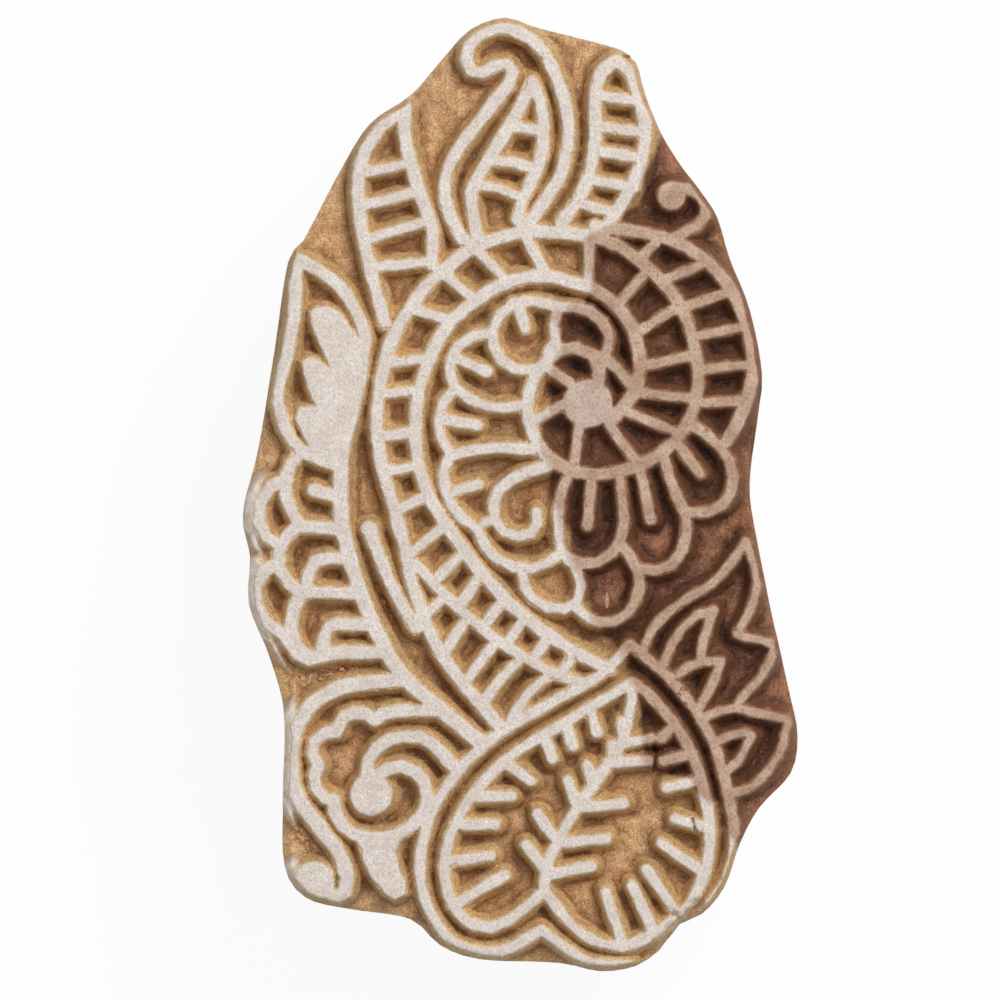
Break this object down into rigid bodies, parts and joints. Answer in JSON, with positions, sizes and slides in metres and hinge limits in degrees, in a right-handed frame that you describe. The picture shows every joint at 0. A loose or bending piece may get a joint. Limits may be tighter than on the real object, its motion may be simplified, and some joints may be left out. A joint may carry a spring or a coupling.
{
  "type": "textile printing block",
  "caption": "Hand-carved wooden block for printing cloth, with a floral relief face, a white tracing coat on its printing lines and a nailed wooden grip on the back.",
  "frame": {"origin": "middle of the bounding box in plan, on the rest face of the handle", "axes": "+Z out of the carved face, +Y up the design along the block's length, +X to the right of the design"},
  "size_m": [0.0556, 0.0956, 0.0427],
  "materials": {
    "block_wood": "hand carved, dry, with pale sapwood and dark heartwood",
    "chalk_coat": "matt chalk coat, worn at its edges",
    "handle_wood": "hand worn, smooth",
    "nail_iron": "dark, hammered, slightly rusted"
  },
  "bodies": {
    "root": {"carved_block": "block_wood", "tracing_coat": "chalk_coat", "back_handle": "handle_wood", "handle_nails": "nail_iron"}
  },
  "joints": []
}
